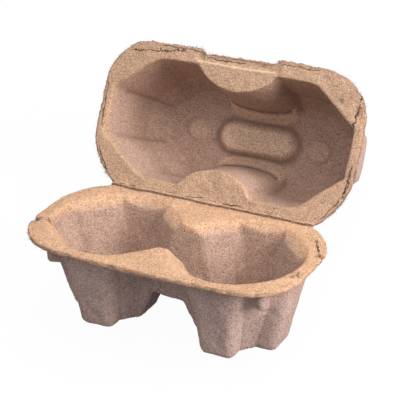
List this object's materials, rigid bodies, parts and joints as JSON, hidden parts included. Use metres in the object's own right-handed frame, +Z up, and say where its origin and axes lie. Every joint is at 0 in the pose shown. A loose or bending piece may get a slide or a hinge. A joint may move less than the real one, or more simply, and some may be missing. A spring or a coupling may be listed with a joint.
{
  "type": "pulp egg tray",
  "caption": "Moulded pulp egg tray with cross-shaped cups joined by a saddle, and a deep drafted lid that turns back on the crease along its rear edge",
  "frame": {"origin": "bottom centre of the bounding box, on the surface that the opened carton rests on", "axes": "X runs along the crease, Y from the tray's front to the back of the opened lid, Z up; the empty carton lies leaned back about 29 degrees, on the rear edges of its feet and of its lid's top"},
  "size_m": [0.1048, 0.1116, 0.0547],
  "materials": {
    "tray_pulp": "rough moulded fibre, grey-brown with dark specks",
    "lid_pulp": "rough moulded fibre, grey-brown with dark specks"
  },
  "bodies": {
    "tray": {"tray": "tray_pulp"},
    "lid": {"lid": "lid_pulp"}
  },
  "joints": [
    {"name": "lid_crease", "type": "hinge", "parent": "tray", "child": "lid", "pos_m": [0, -0.00025, 0.02359], "axis": [-1, 0, 0], "range_deg": [-117, 58]}
  ]
}
